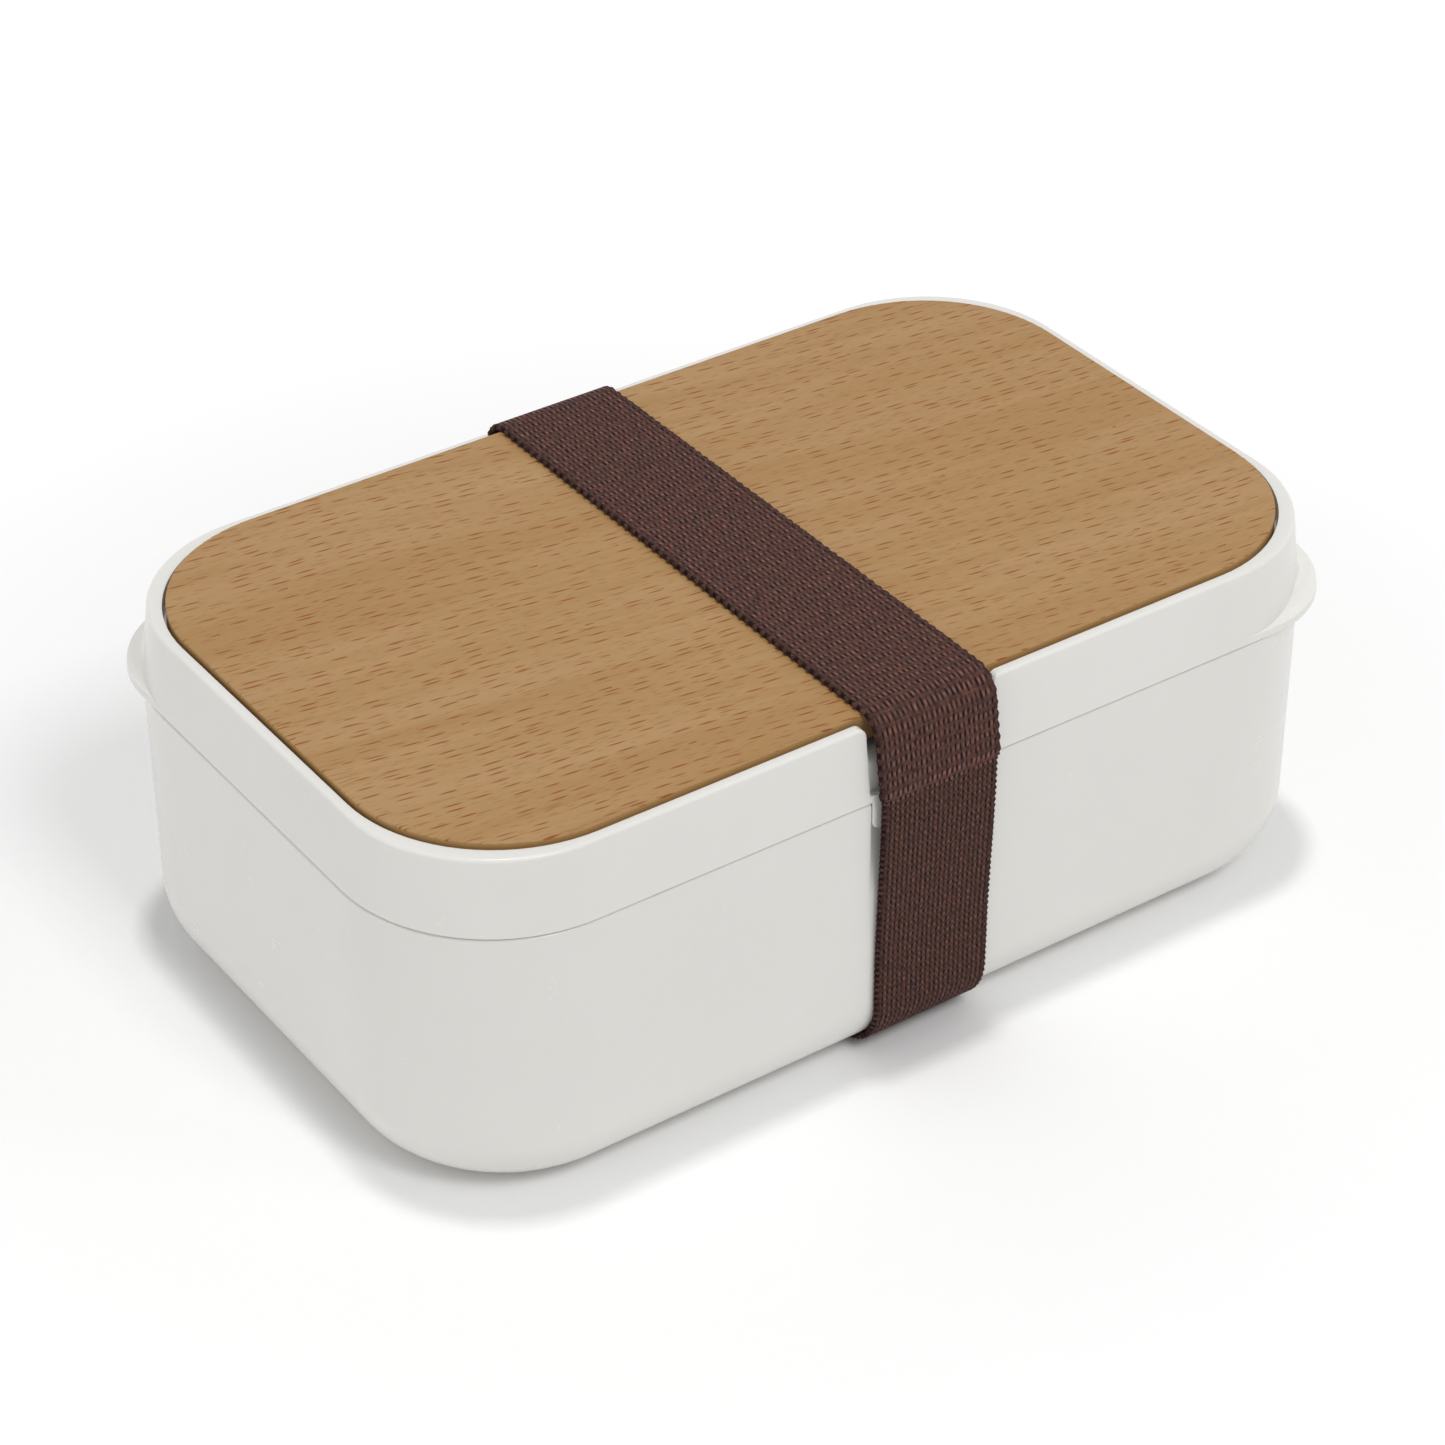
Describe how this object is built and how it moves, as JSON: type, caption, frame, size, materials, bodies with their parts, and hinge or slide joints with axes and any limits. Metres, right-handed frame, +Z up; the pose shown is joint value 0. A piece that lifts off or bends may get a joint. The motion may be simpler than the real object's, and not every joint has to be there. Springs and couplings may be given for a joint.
{
  "type": "bento lunch box",
  "caption": "Rectangular lunch box with rounded corners: a moulded food tray with a divider, a lid with a cutlery bay under a wooden cover, and an elastic band round the middle.",
  "frame": {"origin": "middle of the tray's flat underside, on the table", "axes": "+X along the box, -Y to the front with the band's front run, +Z up through the lid"},
  "size_m": [0.18, 0.1144, 0.067],
  "materials": {
    "tray_plastic": "off-white satin moulding",
    "lid_plastic": "off-white satin moulding",
    "seal_silicone": "soft translucent white silicone",
    "cover_beech": "oiled beech with short dark flecks",
    "band_elastic": "dark brown woven elastic",
    "divider_plastic": "off-white satin moulding",
    "cutlery_plastic": "off-white satin moulding"
  },
  "bodies": {
    "base": {"base_tray": "tray_plastic", "band_lower": "band_elastic"},
    "lid": {"lid_shell": "lid_plastic", "lid_seal": "seal_silicone", "band_upper": "band_elastic"},
    "cover": {"wood_cover": "cover_beech"},
    "divider": {"food_divider": "divider_plastic"},
    "fork": {"fork": "cutlery_plastic"},
    "knife": {"knife": "cutlery_plastic"}
  },
  "joints": [
    {"name": "lid_lift", "type": "slide", "parent": "base", "child": "lid", "axis": [0, 0, 1], "range_m": [0, 0.04], "deforming": ["band_lower"]},
    {"name": "cover_lift", "type": "slide", "parent": "lid", "child": "cover", "axis": [0, 0, 1], "range_m": [0, 0.02], "deforming": ["band_upper"]},
    {"name": "divider_slide", "type": "slide", "parent": "base", "child": "divider", "axis": [1, 0, 0], "range_m": [-0.04, 0.04]},
    {"name": "fork_lift", "type": "slide", "parent": "lid", "child": "fork", "axis": [0, 0, 1], "range_m": [0, 0.005]},
    {"name": "knife_lift", "type": "slide", "parent": "lid", "child": "knife", "axis": [0, 0, 1], "range_m": [0, 0.008]}
  ]
}
